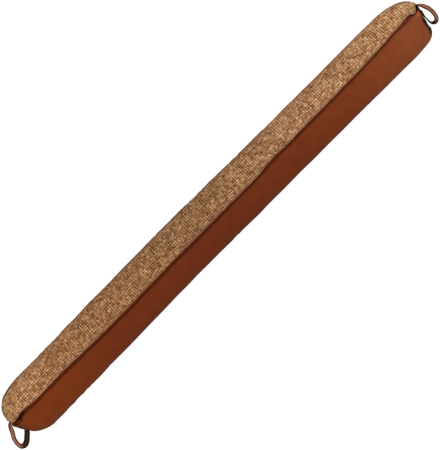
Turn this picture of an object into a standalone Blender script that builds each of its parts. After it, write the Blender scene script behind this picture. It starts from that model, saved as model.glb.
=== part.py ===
"""Draught excluder: a long stuffed tube, woven on one side and leather-look on the other.

A strap loop is sewn into each end. The tube lies along X on its lower seam. Its upper seam faces up,
with the woven side at +Y and the leather-look side at -Y. Lengths in the code are metres. The tables
are in millimetres and degrees.
"""

import bpy
import numpy as np

MM = 0.001

# Driving dimensions of the stuffed body
BODY_LENGTH = 902.4 * MM
BODY_HEIGHT = 83 * MM  # before its weight flattens the underside
FLATTENING = 2.2 * MM  # taken off the underside where it rests
END_SEAM_HEIGHT = 56 * MM
CORNER_TAPER = 30 * MM  # how far in from the end seam the height is full
CORNER_POWER = 2.0
SECTION_POWER = 2.15  # 2 gives an ellipse, more gives squarer shoulders
EDGE_THICKNESS = 1.5 * MM  # of each side at the end seam
GAP = 0.3 * MM  # between pieces that touch

# The crease that the long seams draw in: steep on the woven side, a shelf on the other
SEAM_DEPTH = 5 * MM
CREASE_WIDTH = {"woven": 2.2 * MM, "leather": 4.6 * MM}
CREASE_FULL_AT = 22 * MM  # the side's width from which the crease has its full depth

# The gathers of both sides at the end seams
GATHER_HEIGHT = 1.0 * MM
GATHER_SPACING = 17 * MM
GATHER_REACH = 16 * MM

# The strap: a folded strip
STRAP_WIDTH = 6.4 * MM
STRAP_THICKNESS = 2.4 * MM
STRAP_POWER = 3.0

# How finely the surfaces are divided
END_STATIONS = 15
END_REACH = 90 * MM
MIDDLE_STATIONS = 19
SIDE_POINTS = 30
STRAP_STATIONS = 46
STRAP_POINTS = 12
SIDE_CROWDING = 0.72  # 0 spaces the points of a section evenly, more moves them towards the seams
SHARP_ANGLE = 50  # degrees between faces from which their edge shows

# The body seen from above, a row for each section along it
SECTION_COLUMNS = ("along", "middle", "half_width", "turn")
SECTIONS = (
    (-450, -2.3, 45.1, -6.0),
    (-430, -2.3, 45.1, 1.0),
    (-372, -2.0, 45.0, 3.0),
    (-279, -0.8, 44.9, 6.1),
    (-186, 0.4, 44.7, 7.0),
    (-93, 1.6, 44.4, 7.5),
    (0, 1.2, 44.3, 7.8),
    (93, 0.3, 43.7, 5.4),
    (186, -0.2, 43.3, 1.8),
    (279, -0.5, 43.4, 0.4),
    (341, -0.8, 43.7, -2.6),
    (387, -1.2, 43.5, -5.5),
    (425, -1.5, 43.5, -11.0),
    (450, -1.9, 43.5, -26.0),
)

# How each side rounds off into each end seam: the length of the curve, how full it is, and the flat lip
END_COLUMNS = ("end", "side", "taper", "fullness", "lip")
ENDS = (
    ("left", "woven", 68, 3.05, 0),
    ("left", "leather", 47, 1.9, 0.5),
    ("right", "woven", 67, 2.55, 0),
    ("right", "leather", 31.5, 2.75, 3.5),
)

# The straps' middle lines from the upper to the lower corner of each end seam.
# A roll of 90 stands the strip on its edge, and 0 lays it flat.
ROUTE_COLUMNS = ("along", "across", "height", "roll")
ROUTES = {
    "left_strap": (
        (-451.6, 1.4, 61.2, 90),
        (-454.4, 0.8, 61.5, 82),
        (-456.8, -2.9, 60.2, 50),
        (-459.4, -8.9, 56.0, 14),
        (-462.6, -14.4, 49.8, 0),
        (-466.2, -19.4, 42.0, 0),
        (-469.4, -24.6, 32.0, 0),
        (-472.0, -30.0, 21.0, 0),
        (-473.0, -35.2, 11.5, 0),
        (-471.6, -39.6, 5.0, 0),
        (-467.8, -41.4, 2.2, 0),
        (-462.4, -39.4, 1.7, 0),
        (-456.9, -34.9, 1.6, 0),
        (-452.0, -30.0, 1.9, 8),
        (-448.6, -24.8, 3.6, 36),
        (-448.4, -19.8, 6.4, 66),
        (-450.8, -15.0, 9.6, 85),
        (-454.0, -10.6, 12.8, 90),
        (-455.4, -7.0, 15.2, 90),
        (-454.1, -4.9, 16.5, 90),
        (-451.6, -4.7, 16.7, 90),
    ),
    "right_strap": (
        (451.6, 9.6, 61.0, 90),
        (454.6, 9.0, 61.3, 80),
        (457.6, 5.4, 59.4, 40),
        (460.0, 0.4, 54.6, 8),
        (462.4, -4.9, 48.2, 0),
        (464.2, -10.2, 41.0, 0),
        (465.6, -15.4, 32.5, 0),
        (466.4, -20.4, 23.0, 0),
        (465.8, -24.8, 14.2, 0),
        (463.6, -27.8, 7.6, 5),
        (460.4, -28.0, 4.4, 30),
        (457.4, -25.6, 4.2, 62),
        (455.6, -22.0, 6.0, 84),
        (454.8, -18.4, 9.6, 90),
        (454.0, -15.0, 14.4, 90),
        (453.5, -12.0, 19.8, 90),
        (453.3, -9.2, 25.4, 90),
        (453.5, -6.4, 31.0, 90),
        (453.9, -3.8, 36.2, 92),
        (454.0, -1.6, 40.6, 100),
        (453.2, -0.2, 43.2, 124),
        (451.6, 0.1, 43.8, 145),
    ),
}

# Colours of the surfaces, as display values from 0 to 255, with their roughness
FINISHES = {
    "woven": ((154, 110, 75), 0.9),
    "leather": ((116, 53, 28), 0.5),
    "strap": ((128, 72, 50), 0.5),
}

SIDES = {"woven": 1, "leather": -1}


def clear_scene():
    for thing in list(bpy.data.objects):
        bpy.data.objects.remove(thing, do_unlink=True)


def linear(display):
    """The linear value of a colour given as 0 to 255 display values."""
    share = np.array(display) / 255
    return np.where(share <= 0.04045, share / 12.92, ((share + 0.055) / 1.055) ** 2.4)


def finish(name):
    display, roughness = FINISHES[name]
    material = bpy.data.materials.new(name)
    material.use_nodes = True
    shader = material.node_tree.nodes["Principled BSDF"]
    shader.inputs["Base Color"].default_value = (*linear(display), 1)
    shader.inputs["Roughness"].default_value = roughness
    shader.inputs["Metallic"].default_value = 0
    return material


def smooth_curve(knots, values, at):
    """A cubic through the values at the knots, with each knot's slope taken from its neighbours."""
    slopes = np.gradient(values, knots)
    row = np.clip(np.searchsorted(knots, at) - 1, 0, len(knots) - 2)
    span = knots[row + 1] - knots[row]
    share = np.clip((at - knots[row]) / span, 0, 1)
    return (
        (1 + 2 * share) * (1 - share) ** 2 * values[row]
        + share * (1 - share) ** 2 * span * slopes[row]
        + share**2 * (3 - 2 * share) * values[row + 1]
        + share**2 * (share - 1) * span * slopes[row + 1]
    )


def section_column(name, along):
    rows = np.array(SECTIONS, float)
    return smooth_curve(rows[:, 0] * MM, rows[:, SECTION_COLUMNS.index(name)], along)


def rounding(distance, taper, power):
    """0 at the end seam and 1 from the taper on, along a quarter of a superellipse."""
    left = np.clip(1 - distance / taper, 0, 1)
    return (1 - left**power) ** (1 / power)


def from_ends(along):
    """Each section's distance from the left end seam and from the right one."""
    return {"left": BODY_LENGTH / 2 + along, "right": BODY_LENGTH / 2 - along}


def stations():
    """Places of the sections: close together at the ends, even in the middle."""
    near_end = END_REACH * np.linspace(0, 1, END_STATIONS) ** 2
    left = near_end - BODY_LENGTH / 2
    middle = np.linspace(left[-1], -left[-1], MIDDLE_STATIONS + 2)[1:-1]
    return np.concatenate([left, middle, -left[::-1]])


def side_width(side, along):
    """How far the side stands out from the seams' plane."""
    shape = np.ones_like(along)
    for row in ENDS:
        end = dict(zip(END_COLUMNS, row))
        if end["side"] == side:
            inside = np.maximum(from_ends(along)[end["end"]] - end["lip"] * MM, 0)
            shape = shape * rounding(inside, end["taper"] * MM, end["fullness"])
    full = section_column("half_width", along) * MM
    return EDGE_THICKNESS + (full - EDGE_THICKNESS) * shape


def half_height(along):
    shape = np.ones_like(along)
    for distance in from_ends(along).values():
        shape = shape * rounding(distance, CORNER_TAPER, CORNER_POWER)
    return END_SEAM_HEIGHT / 2 + (BODY_HEIGHT - END_SEAM_HEIGHT) / 2 * shape


def superellipse(angle, power):
    """Cosine and sine of the angle, with squarer shoulders for a higher power."""
    cosine, sine = np.cos(angle), np.sin(angle)
    return (
        np.sign(cosine) * np.abs(cosine) ** (2 / power),
        np.sign(sine) * np.abs(sine) ** (2 / power),
    )


def side_angles():
    """From the upper seam, 0, to the lower one, half a turn, with points closer together near both."""
    share = np.linspace(0, 1, SIDE_POINTS)
    return np.pi * share - SIDE_CROWDING / 2 * np.sin(2 * np.pi * share)


def side_rings(side):
    """The closed sections of one filled side: its curved outside, closed by the flat face along the seams."""
    along = stations()[:, None]
    width, height = side_width(side, along), half_height(along)
    up, out = superellipse(side_angles(), SECTION_POWER)
    nearest_end = np.minimum(*from_ends(along).values())
    gather = GATHER_HEIGHT * np.exp(-nearest_end / GATHER_REACH)
    stand_out = width * out + gather * out * np.cos(2 * np.pi * height * up / GATHER_SPACING)
    depth = SEAM_DEPTH * np.clip(width / CREASE_FULL_AT, 0, 1)
    crease = depth * np.exp(-((stand_out / CREASE_WIDTH[side]) ** 2))
    rise = height * up - np.sign(up) * crease
    stand_out = SIDES[side] * (stand_out + GAP / 2)

    turn = np.radians(section_column("turn", along))
    across = section_column("middle", along) * MM + stand_out * np.cos(turn) - rise * np.sin(turn)
    centre = BODY_HEIGHT / 2 - FLATTENING
    above_floor = np.maximum(centre + stand_out * np.sin(turn) + rise * np.cos(turn), 0)
    return np.stack([along + 0 * rise, across, above_floor], axis=-1)


def strap_rings(route):
    """Sections of the strip carried along a smooth curve through the route's points."""
    columns = dict(zip(ROUTE_COLUMNS, np.array(route, float).T))
    points = np.stack([columns[name] * MM for name in ("along", "across", "height")], axis=-1)
    steps = np.linalg.norm(np.diff(points, axis=0), axis=1)
    knots = np.concatenate([[0], np.cumsum(steps)])
    at = np.linspace(0, knots[-1], STRAP_STATIONS)
    centres = np.stack([smooth_curve(knots, line, at) for line in points.T], axis=-1)
    roll = smooth_curve(knots, columns["roll"], at)

    forward = np.gradient(centres, axis=0)
    outward = np.sign(centres[0, 0])
    forward[[0, -1]] = [[outward, 0, 0], [-outward, 0, 0]]
    forward /= np.linalg.norm(forward, axis=1, keepdims=True)
    level = np.cross(forward, (0, 0, 1))
    level /= np.linalg.norm(level, axis=1, keepdims=True)
    upright = np.cross(level, forward)
    lean = np.radians(roll)[:, None]
    wide = level * np.cos(lean) + upright * np.sin(lean)
    thick = upright * np.cos(lean) - level * np.sin(lean)

    round_angles = np.linspace(0, 2 * np.pi, STRAP_POINTS, endpoint=False)
    across_strip, through_strip = superellipse(round_angles, STRAP_POWER)
    return (
        centres[:, None]
        + wide[:, None] * across_strip[:, None] * STRAP_WIDTH / 2
        + thick[:, None] * through_strip[:, None] * STRAP_THICKNESS / 2
    )


def signed_volume(points, faces):
    """Six times the volume that the faces enclose, negative where they point inwards."""
    total = 0.0
    for face in faces:
        corners = points[list(face)]
        total += np.cross(corners[1:-1], corners[2:]).dot(corners[0]).sum()
    return total


def loft(name, rings, material, parts):
    """One closed solid skinned over rings of points, with a flat cap on the first and the last.

    Each four-sided patch is split along the same diagonal, so that faces which turn with the seams run
    parallel on both sides of the gap.
    """
    count, around = rings.shape[:2]
    points = rings.reshape(-1, 3)
    faces = []
    for ring in range(count - 1):
        for here in range(around):
            beside = (here + 1) % around
            low, high = ring * around, (ring + 1) * around
            faces.append((low + here, low + beside, high + beside))
            faces.append((low + here, high + beside, high + here))
    faces.append(tuple(range(around))[::-1])
    faces.append(tuple(range((count - 1) * around, count * around)))
    if signed_volume(points, faces) < 0:
        faces = [face[::-1] for face in faces]
    mesh = bpy.data.meshes.new(name)
    mesh.from_pydata(points.tolist(), [], faces)
    mesh.materials.append(material)
    mesh.shade_smooth()
    mesh.set_sharp_from_angle(angle=np.radians(SHARP_ANGLE))
    solid = bpy.data.objects.new(name, mesh)
    parts.objects.link(solid)
    return solid


def middle_of(all_rings):
    """The point on the floor under the middle of the whole object's box."""
    points = np.concatenate([rings.reshape(-1, 3) for rings in all_rings])
    lowest, highest = points.min(axis=0), points.max(axis=0)
    return np.array([*(lowest + highest)[:2] / 2, 0])


def build():
    clear_scene()
    parts = bpy.data.collections.new("draught_excluder")
    bpy.context.scene.collection.children.link(parts)
    shapes = {f"{side}_side": (side_rings(side), side) for side in SIDES}
    shapes |= {name: (strap_rings(route), "strap") for name, route in ROUTES.items()}
    middle = middle_of([rings for rings, _ in shapes.values()])
    materials = {name: finish(name) for name in FINISHES}
    for name, (rings, material) in shapes.items():
        loft(name, rings - middle, materials[material], parts)


build()
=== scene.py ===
# %% [markdown]
# # A draught excluder
#
# A long stuffed tube that lies at the foot of a door. One long side is a coarse woven cloth, the other a
# smooth leather-look panel, and a narrow strap loop is sewn into each end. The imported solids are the
# frame: they say where every piece lies and how large it is. The cells below make the cloth, the leather
# and the straps around them, each a little richer than its solid. We start by loading the frame, and
# keep its box, because the finished model has to stay close to it.

# %% Load the frame
from types import SimpleNamespace

import bpy
import numpy as np
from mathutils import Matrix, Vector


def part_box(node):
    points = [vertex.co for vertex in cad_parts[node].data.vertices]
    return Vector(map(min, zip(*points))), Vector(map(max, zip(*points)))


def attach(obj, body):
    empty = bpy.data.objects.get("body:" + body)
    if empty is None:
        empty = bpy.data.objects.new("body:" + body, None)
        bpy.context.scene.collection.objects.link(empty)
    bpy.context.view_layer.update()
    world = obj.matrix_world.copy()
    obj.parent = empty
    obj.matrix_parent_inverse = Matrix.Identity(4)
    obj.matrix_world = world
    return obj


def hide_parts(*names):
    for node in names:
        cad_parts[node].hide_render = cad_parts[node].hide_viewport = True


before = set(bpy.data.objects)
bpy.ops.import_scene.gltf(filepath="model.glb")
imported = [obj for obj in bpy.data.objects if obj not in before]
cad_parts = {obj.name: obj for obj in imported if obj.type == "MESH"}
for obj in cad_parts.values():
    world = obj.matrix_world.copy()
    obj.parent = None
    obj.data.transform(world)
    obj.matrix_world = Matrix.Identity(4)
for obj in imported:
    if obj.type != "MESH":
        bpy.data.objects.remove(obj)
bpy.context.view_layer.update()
MM = 0.001


def in_scene(name, data):
    """A new object with this data, linked to the scene."""
    made = bpy.data.objects.new(name, data)
    bpy.context.scene.collection.objects.link(made)
    return made


print("solids:", sorted(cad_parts))

# %% [markdown]
# ## The camera
#
# The excluder is seen from straight above, with its length running up to the right. A real camera on a
# copy stand would hang above it and be rolled by 45 degrees, so that is what this one does. The lens is
# long enough for the tube to fill the picture from corner to corner at three metres.

# %% Hang the camera above the tube
VIEW_ROLL = np.radians(45.15)
CAMERA_AT = (-1.5 * MM, -12.7 * MM, 3.0393)
LENS = 157.5
SENSOR = 36

camera_data = bpy.data.cameras.new("copy_stand")
camera_data.sensor_fit = "HORIZONTAL"
camera_data.sensor_width = SENSOR
camera_data.lens = LENS
camera = in_scene("copy_stand", camera_data)
camera.location = CAMERA_AT
camera.rotation_euler = (0, 0, -VIEW_ROLL)
bpy.context.scene.camera = camera
bpy.context.scene.view_settings.view_transform = "Standard"
print("camera height", CAMERA_AT[2])

# %% [markdown]
# ## Smooth curves and noise
#
# A few helpers serve every piece. A list of measured sections becomes a smooth form when each number
# follows a cubic curve from section to section. Cloth is never quite even, so a second helper sums a
# few dozen cosines in random directions. That gives soft noise with a wavelength we can choose, and
# the same seed always gives the same noise. The others make steps and bumps without hard edges.

# %% Smooth curves, soft noise, steps and bumps
def smooth_curve(knots, values, at):
    """A cubic through the values at the knots. Each knot's slope comes from its two neighbours."""
    slopes = np.gradient(values, knots, axis=0)
    row = np.clip(np.searchsorted(knots, at) - 1, 0, len(knots) - 2)
    span = knots[row + 1] - knots[row]
    share = np.clip((at - knots[row]) / span, 0, 1)
    spread = (...,) + (None,) * (np.ndim(values) - 1)
    span, share = span[spread], share[spread]
    return (
        (1 + 2 * share) * (1 - share) ** 2 * values[row]
        + share * (1 - share) ** 2 * span * slopes[row]
        + share**2 * (3 - 2 * share) * values[row + 1]
        + share**2 * (share - 1) * span * slopes[row + 1]
    )


def soft_noise(a, b, spacing, seed, waves=28):
    """The sum of cosines in random directions over the plane of a and b, scaled to about -1 to 1."""
    draw = np.random.default_rng(seed)
    turn = draw.uniform(0, 2 * np.pi, waves)
    start = draw.uniform(0, 2 * np.pi, waves)
    length = spacing * draw.uniform(0.7, 1.6, waves)
    total = np.zeros(np.broadcast(a, b).shape)
    for angle, phase, wave in zip(turn, start, length):
        total += np.cos(2 * np.pi * (a * np.cos(angle) + b * np.sin(angle)) / wave + phase)
    return total / np.sqrt(waves)


def eased(value):
    """The value kept between 0 and 1, with a soft start and a soft end."""
    value = np.clip(value, 0, 1)
    return value**2 * (3 - 2 * value)


def window(value, low, high, soft):
    """1 between low and high, 0 outside, with a smooth edge of the soft width on both sides."""
    return eased((value - low) / soft + 0.5) * eased((high - value) / soft + 0.5)


def bell(value, centre, reach):
    """1 at the centre, falling off on both sides like a bell curve of that reach."""
    return np.exp(-(((value - centre) / reach) ** 2))


def climb(value, start, end):
    """0 before the start and 1 after the end, straight in between. The end may be the smaller number."""
    return np.clip((value - start) / (end - start), 0, 1)


print("noise spread", soft_noise(np.arange(500.0), 0, 9, 1).std().round(2))

# %% [markdown]
# ## The form of the stuffed tube
#
# The tube is two filled halves that meet in a plane of seams. Each half is a grid: one way along the
# tube, the other way round its outside from the upper seam to the lower one. A section is a
# superellipse, which is an ellipse with slightly squarer shoulders, and the thread of the seam pulls a
# crease into it. Towards each end the side curves in to the end seam, more fully on the cloth side than
# on the leather side. The tables repeat the dimensions of the solids, so the covers match them.

# %% The measured form
BODY_LENGTH = 902.4 * MM
BODY_HEIGHT = 83 * MM
FLATTENING = 2.2 * MM
END_SEAM_HEIGHT = 56 * MM
CORNER_TAPER = 30 * MM
SECTION_POWER = 2.15
EDGE_THICKNESS = 1.5 * MM
GAP = 0.3 * MM
SEAM_DEPTH = 5 * MM
CREASE_WIDTH = {"woven": 2.2 * MM, "leather": 4.6 * MM}
CREASE_FULL_AT = 22 * MM
# Waves down each end, where the end seam gathers the cloth: their size, their length and their reach
END_GATHER = 1 * MM
END_GATHER_LENGTH = 17 * MM
END_GATHER_REACH = 16 * MM
OUTWARD = {"woven": 1, "leather": -1}

# A row for each section: where along the tube, the seams' middle, half the width, the turn in degrees
SECTIONS = np.array([
    (-450, -2.3, 45.1, -6.0), (-430, -2.3, 45.1, 1.0), (-372, -2.0, 45.0, 3.0), (-279, -0.8, 44.9, 6.1),
    (-186, 0.4, 44.7, 7.0), (-93, 1.6, 44.4, 7.5), (0, 1.2, 44.3, 7.8), (93, 0.3, 43.7, 5.4),
    (186, -0.2, 43.3, 1.8), (279, -0.5, 43.4, 0.4), (341, -0.8, 43.7, -2.6), (387, -1.2, 43.5, -5.5),
    (425, -1.5, 43.5, -11.0), (450, -1.9, 43.5, -26.0),
])

# Sections lie closer together near the ends
CROWDED_REACH = 90 * MM
CROWDED_POWER = 1.7

# How each side curves in to each end seam: the length of the curve, its fullness and the flat lip
ENDS = {
    ("left", "woven"): (68, 3.05, 0),
    ("left", "leather"): (47, 1.9, 0.5),
    ("right", "woven"): (67, 2.55, 0),
    ("right", "leather"): (31.5, 2.75, 3.5),
}


def section(column, along):
    """One column of the table of sections, as a smooth curve along the tube."""
    return smooth_curve(SECTIONS[:, 0] * MM, SECTIONS[:, column], along)


def rounding(distance, taper, power):
    """0 at the end seam and 1 from the taper on, along a quarter of a superellipse."""
    left = np.clip(1 - distance / taper, 0, 1)
    return (1 - left**power) ** (1 / power)


def superellipse(angle, power):
    """Cosine and sine of the angle, each with its size raised to 2 / power."""
    cosine, sine = np.cos(angle), np.sin(angle)
    return (
        np.sign(cosine) * np.abs(cosine) ** (2 / power),
        np.sign(sine) * np.abs(sine) ** (2 / power),
    )


def outside(side, along, angle):
    """Points of one half's outside, for sections along the tube and angles from the upper seam down.

    Height follows the cosine of the angle and width its sine. The crease takes the seam's depth off the
    height, and fades with the square of the distance from the seams' plane. The section is then turned
    about the tube's length, moved sideways to its middle, and cut off level with the floor.
    """
    along = along[:, None]
    from_end = {"left": BODY_LENGTH / 2 + along, "right": BODY_LENGTH / 2 - along}
    fullness, tallness = 1, 1
    for end, distance in from_end.items():
        taper, power, lip = ENDS[end, side]
        fullness = fullness * rounding(np.maximum(distance - lip * MM, 0), taper * MM, power)
        tallness = tallness * rounding(distance, CORNER_TAPER, 2)
    full = section(2, along[:, 0])[:, None] * MM
    width = EDGE_THICKNESS + (full - EDGE_THICKNESS) * fullness
    height = END_SEAM_HEIGHT / 2 + (BODY_HEIGHT - END_SEAM_HEIGHT) / 2 * tallness

    up, out = superellipse(angle, SECTION_POWER)
    gather = END_GATHER * np.exp(-np.minimum(*from_end.values()) / END_GATHER_REACH)
    stand_out = width * out + gather * out * np.cos(2 * np.pi * height * up / END_GATHER_LENGTH)
    depth = SEAM_DEPTH * np.clip(width / CREASE_FULL_AT, 0, 1)
    crease = depth * np.exp(-((stand_out / CREASE_WIDTH[side]) ** 2))
    rise = height * up - np.sign(up) * crease
    stand_out = OUTWARD[side] * (stand_out + GAP / 2)

    turn = np.radians(section(3, along[:, 0]))[:, None]
    middle = section(1, along[:, 0])[:, None] * MM
    across = middle + stand_out * np.cos(turn) - rise * np.sin(turn)
    centre = BODY_HEIGHT / 2 - FLATTENING
    above_floor = np.maximum(centre + stand_out * np.sin(turn) + rise * np.cos(turn), 0)
    return np.stack([along + 0 * rise, across, above_floor], axis=-1)


def crowded(count, crowding):
    """Angles from 0 to half a turn, closer together near both seams."""
    share = np.linspace(0, 1, count)
    return np.pi * share - crowding / 2 * np.sin(2 * np.pi * share)


def stations(near_ends, middle):
    """Places of the sections: close together at the end seams, even in between."""
    near_end = CROWDED_REACH * np.linspace(0, 1, near_ends) ** CROWDED_POWER - BODY_LENGTH / 2
    between = np.linspace(near_end[-1], -near_end[-1], middle + 2)[1:-1]
    return np.concatenate([near_end, between, -near_end[::-1]])


trial = outside("woven", stations(20, 90), crowded(90, 0.5))
lowest, highest = (np.array(corner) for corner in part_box("woven_side"))
SHIFT = np.array([lowest[0] - trial[..., 0].min(), highest[1] - trial[..., 1].max(), 0])
print("the frame's middle lies at", (SHIFT / MM).round(2), "mm")

# %% [markdown]
# ## Let the filling push
#
# A sewing pattern does not give a perfect tube. The filling pushes the cloth out, the seams hold it
# back, and the spare cloth between them settles in shallow puckers. The nearest thing to sewing it is to
# simulate it: a coarse tube of cloth, a little larger than the seams that hold it, is blown up for
# twenty frames with its seams pinned. Only the small waves of the result are kept, and they are capped,
# because the large form is known already.

# %% Blow up a coarse casing with its seams pinned
COARSE_ALONG = stations(16, 150)
COARSE_ROUND = 26
COARSE_ANGLES = crowded(COARSE_ROUND, 0.45)
SETTLING_FRAMES = 20
PRESSURE = 4.0
SPARE_CLOTH = -0.035
RIPPLE_CAP = 0.4 * MM
# How many coarse cells the broad form is blurred over, along the tube and round it
BROAD = (7, 4)


def between_rings(rows, columns):
    """The numbers of the points in rings that close on themselves, and four-sided faces between them."""
    here = np.arange(rows * columns).reshape(rows, columns)
    beside = np.roll(here, -1, axis=1)
    return here, np.stack([here[:-1], beside[:-1], beside[1:], here[1:]], axis=-1).reshape(-1, 4)


def simulate_casing():
    """How far each coarse point moves outwards while the filling pushes, as one grid for each side."""
    woven = outside("woven", COARSE_ALONG, COARSE_ANGLES)
    leather = outside("leather", COARSE_ALONG, COARSE_ANGLES)
    seams = (woven[:, [0, -1]] + leather[:, [0, -1]]) / 2
    ring = np.concatenate([seams[:, :1], woven[:, 1:-1], seams[:, 1:], leather[:, -2:0:-1]], axis=1)
    here, faces = between_rings(*ring.shape[:2])

    mesh = bpy.data.meshes.new("casing")
    mesh.from_pydata(ring.reshape(-1, 3), [], faces[:, ::-1])
    casing = in_scene("casing", mesh)
    sewn = casing.vertex_groups.new(name="sewn")
    held = [*here[0], *here[-1], *here[:, 0], *here[:, COARSE_ROUND - 1]]
    sewn.add([int(point) for point in held], 1.0, "REPLACE")

    cloth = casing.modifiers.new("filling", "CLOTH")
    cloth.settings.quality = 6
    cloth.settings.mass = 0.3
    cloth.settings.vertex_group_mass = "sewn"
    cloth.settings.use_pressure = True
    cloth.settings.uniform_pressure_force = PRESSURE
    cloth.settings.shrink_min = SPARE_CLOTH
    cloth.settings.tension_stiffness = 25
    cloth.settings.compression_stiffness = 25
    cloth.settings.shear_stiffness = 8
    cloth.settings.bending_stiffness = 0.15
    cloth.settings.effector_weights.gravity = 0
    for step in range(1, SETTLING_FRAMES + 1):
        bpy.context.scene.frame_set(step)
    settled = casing.evaluated_get(bpy.context.evaluated_depsgraph_get())
    after = np.empty(ring.size)
    settled.data.vertices.foreach_get("co", after)
    moved = after.reshape(ring.shape) - ring
    bpy.context.scene.frame_set(1)
    bpy.data.objects.remove(casing)

    # The leather's grid runs the other way round the ring, from the lower seam back to the upper one
    turned = np.roll(moved, 1 - COARSE_ROUND, axis=1)
    parts = {"woven": moved[:, :COARSE_ROUND], "leather": turned[:, :COARSE_ROUND][:, ::-1]}
    shapes = {"woven": woven, "leather": leather}
    return {side: (parts[side] * outward_normals(shapes[side], side)).sum(axis=-1) for side in parts}


def outward_normals(points, side):
    """Unit vectors square to the grid, from the cross product of its two directions."""
    normal = np.cross(np.gradient(points, axis=1), np.gradient(points, axis=0))
    normal /= np.maximum(np.linalg.norm(normal, axis=-1, keepdims=True), 1e-12)
    return normal * np.sign((normal[..., 1] * OUTWARD[side]).mean())


def blurred(grid, reach, axis):
    """Each value mixed with its neighbours along one axis, weighted by a bell of that reach in cells."""
    width = int(3 * reach)
    weights = np.exp(-0.5 * (np.arange(-width, width + 1) / reach) ** 2)
    weights /= weights.sum()
    padding = [(0, 0), (0, 0)]
    padding[axis] = (width, width)
    padded = np.pad(grid, padding, mode="edge")
    return np.apply_along_axis(lambda line: np.convolve(line, weights, "valid"), axis, padded)


ripples = simulate_casing()
for side, swell in ripples.items():
    average, most = (swell.mean() / MM).round(2), (swell.max() / MM).round(2)
    print(side, "swells by", average, "mm, at most", most)
    broad = blurred(blurred(swell, BROAD[0], 0), BROAD[1], 1)
    ripples[side] = RIPPLE_CAP * np.tanh((swell - broad) / RIPPLE_CAP)
    print(side, "ripples spread over", (ripples[side].std() / MM).round(3), "mm")

# %% [markdown]
# ## The two covers
#
# Each cover is the same grid again with about fifteen times as many points, so that it can carry what
# the thread does to the cloth. First comes the line of the upper seam. The leather is folded over it and
# pushes the cloth's edge towards the woven side, by a few millimetres that change from place to place.
# No formula gives such a line, so it is a table with a smooth curve through it.

# %% How far the upper seam leans
# A row for each place: where along the tube, and how far towards the woven side, in millimetres
LEANS = np.array([
    (-451, -2.8), (-443, -1.9), (-436, 0.5), (-430, 2.8), (-421, 4.7), (-412, 4.4), (-400, 3.1),
    (-385, 2.5), (-340, 3.7), (-280, 2.6), (-240, 1.8), (-200, 1.6), (-100, 2.2), (0, 2.4),
    (60, 2.2), (90, 2), (120, 4.0), (156, 2.9), (200, 2.6), (280, 3), (340, 2.6), (385, 3.7),
    (406, 3.9), (416, 4), (425, 3.6), (431, 1.2), (434, -1.8), (437.6, -5), (440.7, -5.3),
    (444, -2.9), (448, 0.6), (451, 1),
])
LEAN_REACH = 9 * MM
print("the upper seam leans by", LEANS[:, 1].min(), "to", LEANS[:, 1].max(), "mm")

# %% [markdown]
# The thread and the filling also make small forms: puckers along the seams, gathers that fan out from
# the corners, a narrow fold beside the upper seam on the leather side, which stands up more in three
# places, and a tuck in the leather's left corner. Each is a wave or a bump of the distance to a seam, so
# a short function of that distance can make it.

# %% Puckers, gathers, the fold and the tuck
# How far apart the puckers along each seam are, and how high
UPPER_PUCKERS = (13 * MM, 0.4 * MM)
LOWER_PUCKERS = (14 * MM, 0.5 * MM)
# The angle from one gather to the next where they fan out from a corner
FAN_ANGLE = np.radians(24)
# Beside the upper seam: the rounded edge of the fold, then the groove where it meets the panel. Each has
# a distance from the seam, a reach to either side, and a height or a depth
FOLD_AT, FOLD_REACH, FOLD_HEIGHT = 1.6 * MM, 1.1 * MM, 0.7 * MM
GROOVE_AT, GROOVE_REACH, GROOVE_DEPTH = 3.4 * MM, 1.0 * MM, 1.1 * MM
# The share of that height all along, and where the fold stands up more: from, to and how much more
FOLD_EVERYWHERE = 0.75
FOLDS = ((-0.378, -0.284, 0.5), (-0.205, -0.150, 0.25), (0.402, 0.437, 0.6))
# The tuck, measured from the end seam and from the upper seam. Each crease has a rise and a width
TUCK_MIDDLE = 13 * MM
TUCK_HALF_LENGTH = 9.5 * MM
TUCK_FOOT = 1.6 * MM
TUCK_CREASES = ((1.8 * MM, 0.9 * MM), (5.8 * MM, 0.9 * MM))


def fading(distance, starts, reach):
    """0 on a seam, strongest a little way from it, and fading out beyond."""
    return np.exp(-distance / reach) * (1 - np.exp(-distance / starts))


def puckers(along, seam_distance, spacing, size, seed):
    """Waves across the seam: a cosine whose phase wanders, which fades with distance from the seam."""
    wander = 1.4 * soft_noise(along, 0, 45 * MM, seed)
    strength = 0.65 + 0.35 * soft_noise(along, 0, 70 * MM, seed + 1)
    near = fading(seam_distance, 1.5 * MM, 9 * MM)
    return size * strength * near * np.cos(2 * np.pi * along / spacing + wander * np.pi)


def corner_fan(from_end, from_seam, size, seed):
    """Folds that radiate from a corner: a cosine of the direction, over a bell of the distance."""
    reach = np.hypot(from_end, from_seam)
    direction = np.arctan2(from_seam, from_end)
    fan = np.cos(2 * np.pi * direction / FAN_ANGLE + 1.1 * soft_noise(direction, 0, 0.6, seed))
    return size * fan * np.exp(-reach / (11 * MM)) * (1 - bell(reach, 0, 3.5 * MM))


def side_fold(along, from_seam):
    """A ridge beside the seam with a groove behind it, where the leather is doubled."""
    more_here = sum(more * window(along, low, high, 30 * MM) for low, high, more in FOLDS)
    strength = (FOLD_EVERYWHERE + more_here) * (1 + 0.25 * soft_noise(along, 0, 26 * MM, 71))
    ridge = FOLD_HEIGHT * bell(from_seam, FOLD_AT, FOLD_REACH)
    return strength * (ridge - GROOVE_DEPTH * bell(from_seam, GROOVE_AT, GROOVE_REACH))


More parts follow.
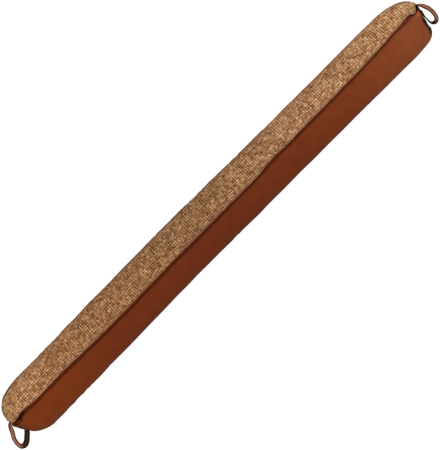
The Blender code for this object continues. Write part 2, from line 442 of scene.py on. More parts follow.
def corner_tuck(from_end, beside):
    """1 along the two creases of the tuck, which are half ellipses that stand on the seam."""
    place = (from_end - TUCK_MIDDLE) / TUCK_HALF_LENGTH
    arch = np.sqrt(np.clip(1 - place**2, 0, 1))
    creases = sum(bell(beside, TUCK_FOOT + rise * arch, width) for rise, width in TUCK_CREASES)
    return creases * climb(np.abs(place), 1, 0.75)


print("puckers along the upper seam:", round(BODY_LENGTH / UPPER_PUCKERS[0]))

# %% [markdown]
# Every form starts from a distance, so these are worked out once, and the forms are then added up into
# one height for each point. The heights are small, because even half a millimetre shows in soft light.

# %% Distances, and the height of all the small forms
# The fold is narrower on the right of the middle, and wide again at the right end. The pairs say where
# each change starts and ends
FOLD_NARROWER = 0.3
FOLD_CHANGES = (-0.06 * BODY_LENGTH, 0.06 * BODY_LENGTH)
FOLD_WIDER_AT_END = 0.55
FOLD_WIDENS = (56 * MM, 26 * MM)
# Heights and lengths: lumps of the filling, waves beside the end seams, and slubs of the woven cloth
LUMP_HEIGHT, LUMP_LENGTH = 0.2 * MM, 48 * MM
END_WAVE_HEIGHT, END_WAVE_LENGTH = 0.45 * MM, 9 * MM
SLUB_HEIGHT, SLUB_SPACING = 0.18 * MM, 4.2 * MM
# How high the gathers are at each corner, how deep the tuck is, and how far the filling pushes each side
# out beyond its solid, all of it once it is this far from the upper seam
CORNER_GATHERS = {"woven": {"left": 0.35, "right": 0.3}, "leather": {"left": 1.3, "right": 0.6}}
TUCK_DEPTH = 2 * MM
SWELL = {"woven": 0.5 * MM, "leather": 0.3 * MM}
SWELL_FROM = (6 * MM, 26 * MM)


def arc_lengths(points, axis):
    """Running length along one of the grid's directions."""
    steps = np.linalg.norm(np.diff(points, axis=axis), axis=-1)
    first = np.zeros_like(steps[:1]) if axis == 0 else np.zeros_like(steps[:, :1])
    return np.concatenate([first, np.cumsum(steps, axis=axis)], axis=axis)


def distances(side, points):
    """How far every point is from the seams and ends, under a name for each kind of distance.

    upper, lower, left and right are lengths over the surface, to_left and to_right straight lines along
    the tube. beside is the distance from the upper seam as seen from above, and far away on the lower
    half. beyond is upper again, stretched where the fold beside the seam is narrow.
    """
    far = SimpleNamespace(upper=arc_lengths(points, 1), left=arc_lengths(points, 0))
    far.place = points[..., 0].copy()
    far.lower, far.right = far.upper[:, -1:] - far.upper, far.left[-1:] - far.left
    far.to_left, far.to_right = BODY_LENGTH / 2 + far.place, BODY_LENGTH / 2 - far.place
    narrower = FOLD_NARROWER * climb(far.place, *FOLD_CHANGES)
    wider = FOLD_WIDER_AT_END * eased(climb(far.to_right, *FOLD_WIDENS))
    far.beyond = far.upper * (1 + narrower - wider)
    sideways = OUTWARD[side] * (points[..., 1] - points[:, :1, 1])
    far.beside = np.where(far.upper < far.lower, sideways, 1.0)
    return far


def cover_relief(side, along, angle, far):
    """The height of all the small forms added up, and the painted shade in their valleys and beside the
    corners.
    """
    ripple = smooth_curve(COARSE_ALONG, ripples[side], along)
    relief = smooth_curve(COARSE_ANGLES, ripple.T, angle).T
    relief += puckers(far.place, far.upper, *UPPER_PUCKERS, 11)
    relief += puckers(far.place, far.lower, *LOWER_PUCKERS, 12)
    relief += LUMP_HEIGHT * soft_noise(far.left, far.upper, LUMP_LENGTH, 21 + OUTWARD[side])
    waves = END_WAVE_HEIGHT * soft_noise(far.upper, 0, END_WAVE_LENGTH, 41 + OUTWARD[side])
    gathers = 0
    for end, distance in (("left", far.left), ("right", far.right)):
        size = CORNER_GATHERS[side][end] * MM
        gathers = gathers + corner_fan(distance, far.upper, size, 31)
        gathers = gathers + corner_fan(distance, far.lower, size, 32)
        relief += waves * fading(distance, 2 * MM, 13 * MM)
    relief += gathers + SWELL[side] * climb(far.upper, *SWELL_FROM)
    if side == "woven":
        relief += SLUB_HEIGHT * soft_noise(far.left, far.upper, SLUB_SPACING, 51)
        return relief, -gathers / MM
    tuck = corner_tuck(far.to_left, far.beside)
    relief += side_fold(far.place, far.beyond) - TUCK_DEPTH * tuck
    # Painted shade behind the tuck and under the right corner, added to the painted shade in the valleys
    behind_tuck = bell(far.to_left, 22 * MM, 8 * MM) * bell(far.beside, 2.6 * MM, 1.6 * MM)
    at_corner = bell(far.to_right, 13 * MM, 8 * MM) * bell(far.upper, 2.6 * MM, 3 * MM)
    return relief, tuck + behind_tuck + 0.8 * at_corner - gathers / MM


print("the highest swell is", max(SWELL.values()) / MM, "mm")

# %% [markdown]
# Most of this moves points along the surface's own normals, and a few steps shift an end or the seam as
# a whole. The lengths along the grid's lines, in metres, become the UV map, so that yarns and grain
# follow the cloth wherever it curves. Each point also keeps a few marks, which tell the finish where the
# seams are and where it paints shade, shadow or a highlight.

# %% The points of a cover, and their marks
# The left corner is rounded at the upper seam, and low down each side is a little leaner near one end
CORNER_ROUNDED = 1.4 * MM
LEANER_LEFT = 0.8 * MM
LEANER_RIGHT = 1.4 * MM
LEANER_FROM = (20 * MM, 40 * MM)
# The leather's left end is drawn in halfway down, and its right end is set back below its corner
PULLED_IN = 3 * MM
PULLED_FROM = (9.8 * MM, 23.8 * MM)
SET_BACK = 4 * MM
SET_BACK_SPAN = (20 * MM, 62 * MM)
SET_BACK_REACH = 12 * MM
# Relief fades out over the last stretch before a seam, where the thread holds the cloth
HELD = 1 * MM
# How far in from the right end the leather is painted in deep shadow at its upper corner, and how much
# cloth that faces along the tube is painted in that shadow too
END_SHADOW_WIDTH = 6.5 * MM
FACING_OUT = (0.5, 0.7)
# The covers are painted darker where they turn down, as shade, sooner by this much at the left end. The
# underside and the end faces are painted lighter again, as light from the table, and keep the rest of
# the dark. The pairs say how much the cloth faces up at the start and at the end of each change
TURNING_DOWN = (0.4, 0.08)
SOONER_LEFT = 0.3
UNDERSIDE = (0, -0.4)
END_FACE = (0.12, -0.13)
PAINTED_LIGHT_FROM_BELOW = 0.8


def shift_ends(side, points, far):
    """Move the stretches near the ends along or across the tube, by bells of their distances."""
    low = climb(far.upper, *LEANER_FROM)
    if side == "leather":
        set_back = window(far.upper, *SET_BACK_SPAN, 12 * MM) * np.exp(-far.to_right / SET_BACK_REACH)
        pulled_in = climb(far.upper, *PULLED_FROM) * bell(far.to_left, 8 * MM, 6 * MM)
        points[..., 0] += PULLED_IN * pulled_in - SET_BACK * set_back
        points[..., 1] += LEANER_RIGHT * bell(far.to_right, 20 * MM, 20 * MM) * low
    else:
        points[..., 1] -= LEANER_LEFT * bell(far.to_left, 30 * MM, 12 * MM) * low
    points[..., 0] += CORNER_ROUNDED * bell(far.to_left, 0, 8 * MM) * bell(far.upper, 0, 7 * MM)


def finish_marks(far, normals, valley_shades):
    """What the finish needs at each point, from its distances and from the way the cloth faces.

    These are the distances to the upper and the lower seam, the painted shade in valleys and beside the
    corners, the painted shadow at the leather's right end, how near an end seam is, the painted
    highlight on the right corner, and the painted shade low on the side.
    """
    facing_up = normals[..., 2]
    at_end = climb(far.to_right, END_SHADOW_WIDTH + 1.5 * MM, END_SHADOW_WIDTH)
    facing_out = climb(normals[..., 0], *FACING_OUT) * climb(far.upper, 18 * MM, 24 * MM)
    on_face, under = eased(climb(facing_up, *END_FACE)), eased(climb(facing_up, *UNDERSIDE))
    starts_at = TURNING_DOWN[0] + SOONER_LEFT * np.exp(-far.to_left / (34 * MM))
    turned_down = eased(climb(facing_up, starts_at, TURNING_DOWN[1]))
    return {
        "upper_seam": far.beyond,
        "lower_seam": far.lower,
        "valley": valley_shades,
        # Painted shadow at the leather's right end, lighter where it faces down
        "turned_under": np.maximum(at_end, facing_out) * (1 - PAINTED_LIGHT_FROM_BELOW * on_face),
        "end_seam": climb(np.minimum(far.to_left, far.to_right), 2.08 * MM, 0.48 * MM),
        # Painted highlight on the leather's right corner
        "worn_corner": bell(far.to_right, 10 * MM, 5 * MM) * bell(far.beside, 8 * MM, 4 * MM),
        # Painted shade low on the side, lifted on the underside as painted light from below
        "low_side": turned_down * (1 - PAINTED_LIGHT_FROM_BELOW * under),
    }


def cover_points(side, along, angle):
    """The outside of a cover with all its relief, its UV map's two lengths, and its marks."""
    points = outside(side, along, angle)
    far = distances(side, points)
    relief, valley_shades = cover_relief(side, along, angle, far)
    relief *= climb(np.minimum.reduce([far.upper, far.lower, far.left, far.right]), 0, HELD)
    shift_ends(side, points, far)
    normals = outward_normals(points, side)
    points = points + relief[..., None] * normals
    lean = smooth_curve(LEANS[:, 0] * MM, LEANS[:, 1] * MM, along)
    points[..., 1] += lean[:, None] * bell(far.upper, 0, LEAN_REACH)
    points[..., 2] = np.maximum(points[..., 2], 0)
    u = far.left - far.left[[len(along) // 2]]
    v = far.upper - far.upper[:, [len(angle) // 2]]
    return points + SHIFT, u, v, finish_marks(far, normals, valley_shades)


print("relief fades out over the last", HELD / MM, "mm before a seam")

# %% [markdown]
# A cover is closed like the solid that it stands for: the curved outside, then a flat face down the
# plane of the seams, and a small cap at each end. The function below takes any stack of closed rings,
# skins them with four-sided faces, caps both ends and stores the UV map and one value for each point.

# %% Skin rings into one closed mesh
# How wide the flat face between the seams counts in the UV map, in metres
FLAT_FACE_UV = 0.04


def add_piece(name, rings, uv, marks):
    """A closed mesh from rings of points, with a UV map in metres and named values on its points."""
    rows, columns = rings.shape[:2]
    here, quads = between_rings(rows, columns)
    caps = [here[0][::-1], here[-1]]
    around = (rings[:-1] - np.roll(rings, -1, axis=1)[:-1], rings[1:] - rings[:-1])
    volume = (np.cross(*around) * (rings[:-1] - rings.mean(axis=(0, 1)))).sum()
    if volume < 0:
        quads, caps = quads[:, ::-1], [cap[::-1] for cap in caps]
    corners = np.concatenate([quads.ravel(), *caps])
    mesh = bpy.data.meshes.new(name)
    mesh.vertices.add(rows * columns)
    mesh.vertices.foreach_set("co", rings.ravel())
    mesh.loops.add(len(corners))
    mesh.loops.foreach_set("vertex_index", corners)
    mesh.polygons.add(len(quads) + 2)
    starts = np.concatenate([4 * np.arange(len(quads)), 4 * len(quads) + np.array([0, columns])])
    mesh.polygons.foreach_set("loop_start", starts)
    mesh.update(calc_edges=True)
    mesh.shade_smooth()
    layer = mesh.uv_layers.new(name="cloth_metres")
    layer.data.foreach_set("uv", uv.reshape(-1, 2)[corners].ravel())
    for mark, values in marks.items():
        mesh.attributes.new(mark, "FLOAT", "POINT").data.foreach_set("value", values.ravel())
    print(name, "has", 2 * len(quads) + 2 * (columns - 2), "triangles")
    return in_scene(name, mesh)


def make_cover(side, near_ends, middle, columns, crowding, inner=7):
    """One cover: the outside grid, then a few columns back up the flat face between the seams."""
    along, angle = stations(near_ends, middle), crowded(columns, crowding)
    points, length, across, marks = cover_points(side, along, angle)
    share = np.linspace(0, 1, inner + 2)[1:-1]
    back = points[:, -1:] + (points[:, :1] - points[:, -1:]) * share[:, None]
    rings = np.concatenate([points, back], axis=1)
    flat = np.zeros((len(along), inner))
    u = np.concatenate([length, flat + length[:, -1:]], axis=1)
    v = np.concatenate([across, across[:, -1:] + FLAT_FACE_UV * share], axis=1)
    marks = {mark: np.concatenate([values, flat], axis=1) for mark, values in marks.items()}
    return add_piece(f"{side}_cover", rings, np.stack([u, v], axis=-1), marks)


covers = {
    "woven": make_cover("woven", 90, 545, 118, 0.45),
    "leather": make_cover("leather", 80, 420, 110, 0.62),
}

# %% [markdown]
# ## The strap loops
#
# A strap is a strip of the leather-look folded in on itself and sewn down its middle, 7 mm wide and
# 2.4 mm thick. It leaves the end seam on edge, turns flat as it hangs round, and goes back in further
# down the end. A flat strip like this is best made directly: a section carried along a smooth route and
# rolled as the route says. The section is a superellipse with a groove along both faces, where the
# stitches sit.

# %% The straps' routes
STRAP_WIDTH = 7 * MM
STRAP_THICKNESS = 2.4 * MM
STRAP_POWER = 2.9
STRAP_GROOVE = 0.42 * MM
# The share of its length over which a strap goes into its far half, which is painted dark as shade, and
# how much wider that half gets
FAR_HALF_FROM = (0.5, 0.58)
TURNED_WIDER = {"left": 0.3, "right": 0}
# The far leg, as shares of the length, and how much thinner it is
FAR_LEG = (0.66, 0.9)
FAR_LEG_THINNER = {"left": 0, "right": 0.6}

# Along, across and height in millimetres, then the roll: 90 stands the strip on edge and 0 lays it flat
ROUTES = {
    "left": (
        (-446.0, 1.0, 60.9, 80), (-450.6, 1.0, 61.2, 74), (-453.0, -0.2, 61.3, 62),
        (-455.2, -3.6, 60.0, 40), (-458.2, -9.1, 56.0, 18), (-462.0, -14.4, 49.8, 0),
        (-466.2, -19.4, 42.0, 0), (-469.4, -24.6, 32.0, 0), (-472.0, -30.0, 21.0, 0),
        (-473.0, -34.6, 11.5, 0), (-471.6, -38.4, 5.0, 0), (-467.8, -39.8, 2.2, 0),
        (-462.4, -37.8, 1.7, 0), (-456.9, -33.4, 1.6, 0), (-452.0, -28.9, 1.9, 8),
        (-448.6, -24.8, 3.6, 36), (-448.4, -19.8, 6.4, 66), (-450.8, -15.0, 9.6, 85),
        (-454.0, -10.6, 12.8, 90), (-455.4, -7.0, 15.2, 90), (-454.1, -4.9, 16.5, 90),
        (-451.6, -4.7, 16.7, 90), (-446.0, -4.6, 16.9, 90),
    ),
    "right": (
        (443.4, 11.8, 61.5, 66), (448.6, 11.0, 62.3, 62), (452.8, 8.8, 61.8, 52),
        (456.4, 4.8, 59.4, 30), (459.2, 0.2, 54.6, 10), (462.4, -4.9, 48.2, 0), (464.2, -10.2, 41.0, 0),
        (465.6, -15.4, 32.5, 0), (466.4, -20.4, 23.0, 0), (465.8, -24.8, 14.2, 0),
        (463.6, -27.8, 7.6, 5), (460.4, -28.0, 4.4, 30), (457.4, -25.6, 4.2, 62),
        (455.6, -22.0, 6.0, 84), (454.8, -18.4, 9.6, 90), (454.0, -15.0, 14.4, 90),
        (453.2, -12.0, 19.8, 90), (452.6, -9.2, 25.4, 90), (452.3, -6.4, 31.0, 90),
        (452.2, -3.8, 36.2, 92), (452.1, -1.6, 40.6, 100), (451.8, -0.2, 43.2, 124),
        (451.0, 0.1, 43.8, 145), (446.0, 0.2, 44.0, 145),
    ),
}


def strap_frame(route, count):
    """Evenly spaced centres along a smooth curve through the route, with the strip's two directions."""
    points = np.array(route, float)
    points[:, :3] *= MM
    steps = np.linalg.norm(np.diff(points[:, :3], axis=0), axis=1)
    knots = np.concatenate([[0], np.cumsum(steps)])
    at = np.linspace(0, knots[-1], count)
    path = smooth_curve(knots, points, at)
    forward = np.gradient(path[:, :3], axis=0)
    forward /= np.linalg.norm(forward, axis=1, keepdims=True)
    level = np.cross(forward, (0, 0, 1))
    level /= np.linalg.norm(level, axis=1, keepdims=True)
    upright = np.cross(level, forward)
    lean = np.radians(path[:, 3:])
    wide = level * np.cos(lean) + upright * np.sin(lean)
    thick = upright * np.cos(lean) - level * np.sin(lean)
    return at, path[:, :3] + SHIFT, wide, thick


def make_strap(end, count=230, around=36):
    """The strip: a superellipse for its section, thinner along the middle, with a wandering width."""
    at, centres, wide, thick = strap_frame(ROUTES[end], count)
    across, through = superellipse(np.linspace(0, 2 * np.pi, around, endpoint=False), STRAP_POWER)
    groove = STRAP_GROOVE * bell(across, 0, 0.2) * np.sign(through)
    # How far into its far half the strap is: that half is wider and painted dark as shade
    turned = climb(at / at[-1], *FAR_HALF_FROM)
    uneven = 1 + 0.035 * soft_noise(at, 0, 14 * MM, 61 + len(end)) + TURNED_WIDER[end] * turned
    pulled = 1 - FAR_LEG_THINNER[end] * window(at / at[-1], *FAR_LEG, 0.1)
    rings = (
        centres[:, None]
        + wide[:, None] * across[:, None] * STRAP_WIDTH / 2 * uneven[:, None, None]
        + thick[:, None] * ((through * STRAP_THICKNESS / 2 - groove) * pulled[:, None])[..., None]
    )
    uv = np.stack(np.broadcast_arrays(at[:, None], across * STRAP_WIDTH / 2), axis=-1)
    everywhere = np.zeros(rings.shape[:2])
    # Painted shade along the middle groove, on the rims and over the far half
    marks = {
        "middle_line": bell(across, 0, 0.3) + everywhere,
        "rim": climb(np.abs(across), 0.3, 0.6) + everywhere,
        "turned_over": turned[:, None] + everywhere,
    }
    return add_piece(f"{end}_loop", rings, uv, marks)


straps = {end: make_strap(end) for end in ROUTES}

# %% [markdown]
# The stitches that hold each strap's fold together lie in the groove on both faces. A stitch is a short
# piece of thread that dips into the strip at both ends, so it is a small tube whose thickness and height
# both follow half a sine. Nearly forty on a face, with a few dozen faces each, are enough.

# %% Stitches along the straps
STITCH_PITCH = 3.6 * MM
STITCH_LENGTH = 2.7 * MM
FIRST_STITCH = 5 * MM
STITCH_RISE = 0.28 * MM
STITCH_RINGS = 7
THREAD = 0.3 * MM
THREAD_SIDES = 6


def make_stitches(end):
    """All stitches of one strap as one mesh: each is a ring of points carried along half a sine."""
    at, centres, wide, thick = strap_frame(ROUTES[end], 900)
    share = np.linspace(0, 1, STITCH_RINGS)
    arch = np.sin(np.pi * share)
    height = STRAP_THICKNESS / 2 - STRAP_GROOVE + STITCH_RISE * (arch - 0.45)
    radius = THREAD * (0.55 + 0.45 * arch)[:, None]
    round_angle = np.linspace(0, 2 * np.pi, THREAD_SIDES, endpoint=False)
    aside, upwards = radius * np.cos(round_angle), 0.7 * radius * np.sin(round_angle)
    here, quads = between_rings(STITCH_RINGS, THREAD_SIDES)
    # A face starts one corner later here, which picks the diagonal that it is split along
    outlines = [*np.roll(quads, -1, axis=1), here[0][::-1], here[-1]]
    vertices, faces = [], []
    for place in np.arange(FIRST_STITCH, at[-1] - FIRST_STITCH, STITCH_PITCH):
        row = np.clip(np.searchsorted(at, place + (share - 0.5) * STITCH_LENGTH), 0, len(at) - 1)
        for face in (1, -1):
            up = face * thick[row][:, None]
            rise = (height[:, None] + upwards)[..., None]
            rings = centres[row][:, None] + wide[row][:, None] * aside[..., None] + up * rise
            first = len(vertices) * here.size
            vertices.append(rings.reshape(-1, 3))
            faces += [(first + corners)[::face].tolist() for corners in outlines]
    mesh = bpy.data.meshes.new(f"{end}_stitches")
    mesh.from_pydata(np.concatenate(vertices).tolist(), [], faces)
    mesh.shade_smooth()
    print(mesh.name, len(vertices), "stitches")
    return in_scene(mesh.name, mesh)


stitches = {end: make_stitches(end) for end in ROUTES}

# %% [markdown]
# ## Writing shader maths
#
# A finish is a small program made of nodes. Written by hand each node takes several lines, so the two
# classes below keep it readable: a `Wire` is one output of a node, and adding or multiplying wires adds
# the Math nodes that do it. Every other node comes from one method of `Finish`, which takes the node's
# type, its settings and what its sockets are set or linked to.

# %% Wires and finishes
class Wire:
    """One output of a node, in sums and products that add their own Math nodes."""

    def __init__(self, finish, socket):
        self.finish, self.socket = finish, socket

    def math(self, operation, *values):
        return self.finish.node("ShaderNodeMath", {"operation": operation}, dict(enumerate(values)))

    def __add__(self, other):
        return self.math("ADD", self, other)

    def __sub__(self, other):
        return self.math("SUBTRACT", self, other)

    def __rsub__(self, other):
        return self.math("SUBTRACT", other, self)

    def __mul__(self, other):
        return self.math("MULTIPLY", self, other)

    def __truediv__(self, other):
        return self.math("DIVIDE", self, other)

    def __pow__(self, other):
        return self.math("POWER", self, other)

    __radd__, __rmul__ = __add__, __mul__

    def floor(self):
        return self.math("FLOOR", self)

    def sine(self):
        return self.math("SINE", self)

    def size(self):
        return self.math("ABSOLUTE", self)

    def clamped(self):
        """The value kept between 0 and 1."""
        return self.math("MINIMUM", self.math("MAXIMUM", self, 0.0), 1.0)


class Finish:
    """A material in the making: node() adds any node, shader() closes it with a Principled BSDF."""

    def __init__(self, name):
        self.material = bpy.data.materials.new(name)
        self.material.use_nodes = True
        self.tree = self.material.node_tree
        self.tree.nodes.clear()

    def node(self, kind, settings=None, inputs=None, output=0):
        made = self.tree.nodes.new(kind)
        for setting, value in (settings or {}).items():
            if setting == "stops":
                stops, interpolation = value
                ramp = made.color_ramp
                ramp.interpolation = interpolation
                while len(ramp.elements) < len(stops):
                    ramp.elements.new(0.5)
                for element, (place, colour) in zip(ramp.elements, stops):
                    element.position = place
                    element.color = (*linear(colour), 1)
            else:
                setattr(made, setting, value)
        for name, value in (inputs or {}).items():
            if isinstance(value, Wire):
                self.tree.links.new(value.socket, made.inputs[name])
            else:
                made.inputs[name].default_value = value
        return Wire(self, made.outputs[output])

    def on_cloth(self):
        """The place on the piece's own UV map, in metres along and round the cloth."""
        return self.node("ShaderNodeUVMap", {"uv_map": "cloth_metres"})

    def in_space(self):
        """The place in the piece's own three axes."""
        return self.node("ShaderNodeTexCoord", None, None, "Object")

    def noise(self, vector, scale, detail=2.0, roughness=0.5):
        """Blender's own noise, from 0 to 1."""
        inputs = {"Vector": vector, "Scale": scale, "Detail": detail, "Roughness": roughness}
        return self.node("ShaderNodeTexNoise", None, inputs)

    def random(self, x, y, z=0.0):
        """A random value for each pair of whole numbers, the same every time."""
        return self.node("ShaderNodeTexWhiteNoise", None, {"Vector": self.vector(x, y, z)})

    def vector(self, x, y, z=0.0):
        return self.node("ShaderNodeCombineXYZ", None, {"X": x, "Y": y, "Z": z})

    def mix(self, share, first, second, blend="MIX"):
        """Two colours mixed, the second by its share."""
        settings = {"data_type": "RGBA", "blend_type": blend, "clamp_result": True}
        inputs = {0: share, 6: rgba(first), 7: rgba(second)}
        return self.node("ShaderNodeMix", settings, inputs, output=2)

    def ramp(self, value, stops, interpolation="LINEAR"):
        """A colour for each value, from stops of a place and a display colour."""
        return self.node("ShaderNodeValToRGB", {"stops": (stops, interpolation)}, {"Fac": value})

    def mark(self, name):
        """A value that the mesh stores on its points."""
        return self.node("ShaderNodeAttribute", {"attribute_name": name}, None, "Fac")

    def bump(self, height, strength, distance):
        inputs = {"Height": height, "Strength": strength, "Distance": distance}
        return self.node("ShaderNodeBump", None, inputs)

    def shader(self, **inputs):
        named = {name.replace("_", " "): rgba(value) for name, value in inputs.items()}
        principled = self.node("ShaderNodeBsdfPrincipled", None, named)
        output = self.tree.nodes.new("ShaderNodeOutputMaterial")
        self.tree.links.new(principled.socket, output.inputs["Surface"])
        return self.material


def linear(display):
    """The linear value of a colour given as 0 to 255 display values."""
    share = np.array(display) / 255
    return np.where(share <= 0.04045, share / 12.92, ((share + 0.055) / 1.055) ** 2.4)


def rgba(value):
    """A display colour of three numbers as a linear colour of four. Anything else stays as it is."""
    return (*linear(value), 1) if isinstance(value, tuple) and len(value) == 3 else value


print("linen tan is", linear((158, 112, 76)).round(3))

# %% [markdown]
# ## The woven cloth
#
# The cloth is a plain weave of thick uneven yarns. Where a yarn comes to the top it is a small rounded
# hump, painted lighter on top as light falls on it, and between four humps there is a gap painted dark
# as shade. Each yarn also has slubs, thicker and lighter stretches, which is what gives linen its broken
# streaks in both directions. A picture of cloth would blur when seen close to, so the weave is worked
# out: a random tone for each short length of the yarns along the tube, another for the yarns across, and
# the one on top counts for more.

# %% A plain weave with slubs
YARN_PITCH = 1.9 * MM
YARN_WANDER = 0.9 * MM
SLUB_LENGTH = 5.5 * MM
YARN_COLOURS = [
    (0.0, (56, 28, 12)), (0.3, (118, 75, 44)), (0.6, (176, 124, 80)), (1.0, (250, 216, 172)),
]
# The cloth's edge along the upper seam gets a painted highlight, and the end of it beside a strap
# painted shade
CLOTH_EDGE_HIGHLIGHT, CLOTH_EDGE_WIDTH = (250, 200, 158), 2.4 * MM
CLOTH_CORNER_SHADE, CLOTH_CORNER_LENGTH = (70, 28, 16), 16 * MM
# Painted light along the tube, from the left end to the right: lighter towards both ends, most at the
# right.
# The cloth's is a tint over its yarns, the leather's is its own red-brown with that painted light in it
CLOTH_PAINTED_LIGHT = [
    (0.0, (241, 238, 236)), (0.25, (214, 207, 202)), (0.48, (207, 206, 204)), (0.75, (234, 234, 240)),
    (1.0, (252, 255, 255)),
]
HIDE_COLOUR_AND_PAINTED_LIGHT = [
    (0.0, (115, 52, 20)), (0.1, (112, 49, 19)), (0.25, (103, 43, 20)), (0.5, (99, 42, 20)),
    (0.66, (104, 44, 21)), (0.8, (111, 50, 24)), (0.9, (121, 59, 31)), (0.97, (128, 66, 38)),
]
# Painted shade: what is left of those colours low on the side, where the covers turn away from the lamp
CLOTH_LOW_PAINTED_SHADE = [
    (0.0, (128, 126, 118)), (0.09, (196, 195, 196)), (0.91, (196, 195, 196)), (1.0, (146, 143, 136)),
]
HIDE_LOW_PAINTED_SHADE = [(0.0, (72, 62, 60)), (0.05, (96, 88, 86)), (0.12, (146, 139, 138))]


def along_tube(finish, stops):
    """A colour that follows the place along the tube."""
    place = finish.in_space()
    along = finish.node("ShaderNodeSeparateXYZ", None, {0: place})
    return finish.ramp(along / BODY_LENGTH + 0.5, stops, "EASE")


def painted_shade_low_down(finish, colour, shades):
    """The colour times a painted shade that follows the place along the tube, where the side is low."""
    darker = finish.mix(1.0, colour, along_tube(finish, shades), "MULTIPLY")
    return finish.mix(finish.mark("low_side"), colour, darker)


def woven_finish():
    cloth = Finish("woven_cloth")
    place = cloth.on_cloth()
    u = cloth.node("ShaderNodeSeparateXYZ", None, {0: place})
    v = Wire(cloth, u.socket.node.outputs[1])
    x = (u + YARN_WANDER * (cloth.noise(place, 60.0, 1.0) - 0.5)) / YARN_PITCH
    y = (v + YARN_WANDER * (cloth.noise(cloth.vector(v, u, 3.0), 60.0, 1.0) - 0.5)) / YARN_PITCH

    column, row = x.floor(), y.floor()
    rise_x, rise_y = (x * np.pi).sine(), (y * np.pi).sine()
    over = 0.35 + 0.3 * (0.5 + 2.5 * (rise_x * rise_y)).clamped()
    along = cloth.random((u / SLUB_LENGTH + 60.0 * cloth.random(row, 0.0)).floor(), row)
    across = cloth.random(column, (v / SLUB_LENGTH + 60.0 * cloth.random(column, 1.0)).floor())
    shade = across + (along - across) * over
    cell = cloth.random(column, row, 7.0)
    hump = (rise_x * rise_y).size() ** 0.4
    patch = cloth.noise(place, 40.0, 2.0)
    fibre = cloth.noise(cloth.vector(u * 3.0, v), 900.0, 2.0, 0.6)

    # The yarn's own tone counts most, then its hump, painted light on top and painted shade in the gaps,
    # then the single crossing, patches and fibres
    tone = 0.5 + 0.57 * (shade - 0.5) + 0.22 * (cell - 0.5) + 0.32 * (hump - 0.6)
    tone = tone + 0.14 * (patch - 0.5) + 0.15 * (fibre - 0.5) + 0.09 * rise_x + 0.08 * rise_y
    # Painted light along the tube over the yarns' colours
    colour = cloth.mix(1.0, cloth.ramp(tone, YARN_COLOURS), along_tube(cloth, CLOTH_PAINTED_LIGHT), "MULTIPLY")
    # Painted shade low on the side of the cloth
    colour = painted_shade_low_down(cloth, colour, CLOTH_LOW_PAINTED_SHADE)
    upper = cloth.mark("upper_seam")
    # Painted highlight along the upper seam, then painted shade in the corner beside a strap
    colour = cloth.mix((1.0 - upper / CLOTH_EDGE_WIDTH).clamped() * 0.4, colour, CLOTH_EDGE_HIGHLIGHT)
    corner = cloth.mark("end_seam") * (1.0 - upper / CLOTH_CORNER_LENGTH).clamped()
    colour = cloth.mix(corner * 0.9, colour, CLOTH_CORNER_SHADE)
    normal = cloth.bump(hump * (0.5 + shade) + fibre * 0.12, 0.7, 0.5 * MM)
    return cloth.shader(Base_Color=colour, Roughness=0.95, Specular_IOR_Level=0.1, Normal=normal)


woven_material = woven_finish()
print("woven cloth:", len(woven_material.node_tree.nodes), "nodes")

# %% [markdown]
# ## The leather-look panel
#
# The panel is a coated cloth: smooth, matt and red-brown, with a fine pebble that hardly shows. Its
# colour drifts slowly along the tube, with painted light in it that is brighter towards both ends. The
# crease of each seam, the end seams and the tuck are painted darker as shade, and the right corner gets
# a painted highlight. The distances to the seams, stored on the points, say where those painted lines
# run.

# %% Leather-look with a fine pebble
# Painted shade beside the seams: the strip folded over beside the upper seam ends over this distance,
# the groove behind it is shaded over this width, and the lower seam's crease over the last one
STRIP_ENDS, STRIP_FADES = 1.8 * MM, 1.2 * MM
DARK_GROOVE_WIDTH = 2.1 * MM
LOWER_SEAM_WIDTH = 5 * MM
# Pebbles to the metre, on the panel and on the narrow straps
PANEL_PEBBLES = 1400.0
STRAP_PEBBLES = 1800.0


def grained(hide, colour, pebbles):
    """The colour on a fine pebble with soft wrinkles, closed as a leather-look shader."""
    place = hide.on_cloth()
    cells = hide.node("ShaderNodeTexVoronoi", {"feature": "F1"}, {"Vector": place, "Scale": pebbles})
    wrinkle = hide.noise(place, 260.0, 3.0, 0.6)
    normal = hide.bump(cells * 0.35 + wrinkle * 0.5, 0.35, 0.15 * MM)
    roughness = 0.58 + 0.12 * hide.noise(place, 90.0, 2.0)
    return hide.shader(Base_Color=colour, Roughness=roughness, Specular_IOR_Level=0.02, Normal=normal)


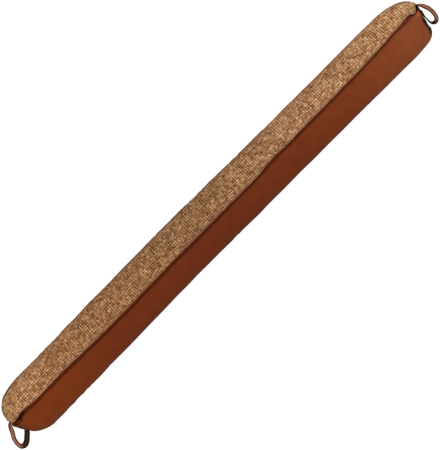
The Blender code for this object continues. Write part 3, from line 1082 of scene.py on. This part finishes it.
def leather_finish():
    hide = Finish("leather_look")
    place = hide.on_cloth()
    mottle = hide.noise(place, 60.0, 4.0, 0.65)
    mottled = hide.ramp(mottle, [(0.3, (231, 234, 232)), (0.7, (255, 254, 252))])
    # The leather's colour with painted light along the tube
    colour = hide.mix(1.0, mottled, along_tube(hide, HIDE_COLOUR_AND_PAINTED_LIGHT), "MULTIPLY")
    # Painted shade low on the side of the leather
    colour = painted_shade_low_down(hide, colour, HIDE_LOW_PAINTED_SHADE)
    upper, lower = hide.mark("upper_seam"), hide.mark("lower_seam")
    # A row for each painted place, one laid over the other: where, how much of it, and its colour. They
    # are painted shade on the strip and in the groove beside the upper seam and in the lower seam's
    # crease, a painted highlight on the right corner, painted shade at the end seams, a painted shadow
    # at the right end, and painted shade in the valleys
    places = (
        ((1.0 - (upper - STRIP_ENDS) / STRIP_FADES).clamped(), 0.85, (91, 31, 11)),
        ((1.0 - ((upper - GROOVE_AT) / DARK_GROOVE_WIDTH) ** 2.0).clamped(), 0.55, (30, 6, 2)),
        ((1.0 - lower / LOWER_SEAM_WIDTH).clamped(), 0.8, (40, 14, 7)),
        (hide.mark("worn_corner"), 0.75, (172, 92, 54)),
        (hide.mark("end_seam"), 0.9, (36, 14, 8)),
        (hide.mark("turned_under"), 1.0, (20, 9, 6)),
        ((hide.mark("valley") * 2.4).clamped(), 0.92, (34, 10, 6)),
    )
    for where, share, shade in places:
        colour = hide.mix(where * share, colour, shade)
    return grained(hide, colour, PANEL_PEBBLES)


def strap_finish():
    hide = Finish("strap_leather")
    place = hide.on_cloth()
    mottle = hide.noise(place, 120.0, 3.0, 0.6)
    colour = hide.ramp(mottle, [(0.3, (152, 94, 68)), (0.7, (182, 122, 90))])
    # Painted shade along the middle groove, on the rounded rims and over the far half of the strap
    colour = hide.mix(hide.mark("middle_line") * 0.3, colour, (84, 38, 24))
    colour = hide.mix(hide.mark("rim") * 0.95, colour, (44, 18, 11))
    colour = hide.mix(hide.mark("turned_over") * 0.93, colour, (30, 14, 10))
    return grained(hide, colour, STRAP_PEBBLES)


def thread_finish():
    thread = Finish("strap_thread")
    place = thread.in_space()
    twist = thread.noise(place, 1600.0, 2.0)
    colour = thread.ramp(twist, [(0.3, (88, 46, 30)), (0.7, (128, 76, 52))])
    return thread.shader(Base_Color=colour, Roughness=0.75, Normal=thread.bump(twist, 0.4, 0.1 * MM))


leather_material = leather_finish()
strap_material = strap_finish()
thread_material = thread_finish()
print("leather-look:", len(leather_material.node_tree.nodes), "nodes")

# %% [markdown]
# ## The floor and the light
#
# A catalogue picture like this is taken on a white table that is lit from below, in a tent that is
# white all round, with one wide lamp above. So the floor glows a little, and the sky does most of the
# lighting.

# %% Floor, lamp and sky
FLOOR_HALF = 9.0
TABLE_GLOW = 0.35
SKY_LIGHT = 0.9
LAMP_POWER = 47
LAMP_WIDTH = 1.2
LAMP_HEIGHT = 3.4


def make_floor():
    """One flat square of paper that glows a little, and that the pieces don't mirror."""
    mesh = bpy.data.meshes.new("floor")
    corners = np.array([(-1, -1, 0), (1, -1, 0), (1, 1, 0), (-1, 1, 0)]) * FLOOR_HALF
    mesh.from_pydata(corners.tolist(), [], [(0, 1, 2, 3)])
    floor = in_scene("floor", mesh)
    paper = Finish("floor_paper")
    place = paper.in_space()
    tone = paper.ramp(paper.noise(place, 3.0), [(0.3, (243, 243, 242)), (0.7, (247, 247, 246))])
    inputs = {"Emission_Color": (255, 255, 255), "Emission_Strength": TABLE_GLOW}
    mesh.materials.append(paper.shader(Base_Color=tone, Roughness=0.9, Specular_IOR_Level=0.1, **inputs))
    floor.visible_diffuse = False
    floor.visible_glossy = False


make_floor()
lamp_data = bpy.data.lights.new("table_lamp", "AREA")
lamp_data.size = LAMP_WIDTH
lamp_data.energy = LAMP_POWER
in_scene("table_lamp", lamp_data).location = (0, 0, LAMP_HEIGHT)
sky = bpy.data.worlds.new("pale_sky")
sky.use_nodes = True
sky.node_tree.nodes["Background"].inputs["Color"].default_value = (1, 1, 1, 1)
sky.node_tree.nodes["Background"].inputs["Strength"].default_value = SKY_LIGHT
bpy.context.scene.world = sky
print("a lamp of", LAMP_POWER, "watts and a sky of", SKY_LIGHT)

# %% [markdown]
# ## Hand the pieces over
#
# Every piece gets its finish and rides on the one body, and the solid that it stands for, if any, is
# hidden.

# %% Finishes, bodies and hidden solids
def hand_over(piece, material, node=None):
    piece.data.materials.clear()
    piece.data.materials.append(material)
    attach(piece, "root")
    if node:
        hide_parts(node)


hand_over(covers["woven"], woven_material, "woven_side")
hand_over(covers["leather"], leather_material, "leather_side")
for end in ROUTES:
    hand_over(straps[end], strap_material, f"{end}_strap")
    hand_over(stitches[end], thread_material)
print("handed over", len(covers) + len(straps) + len(stitches), "pieces")
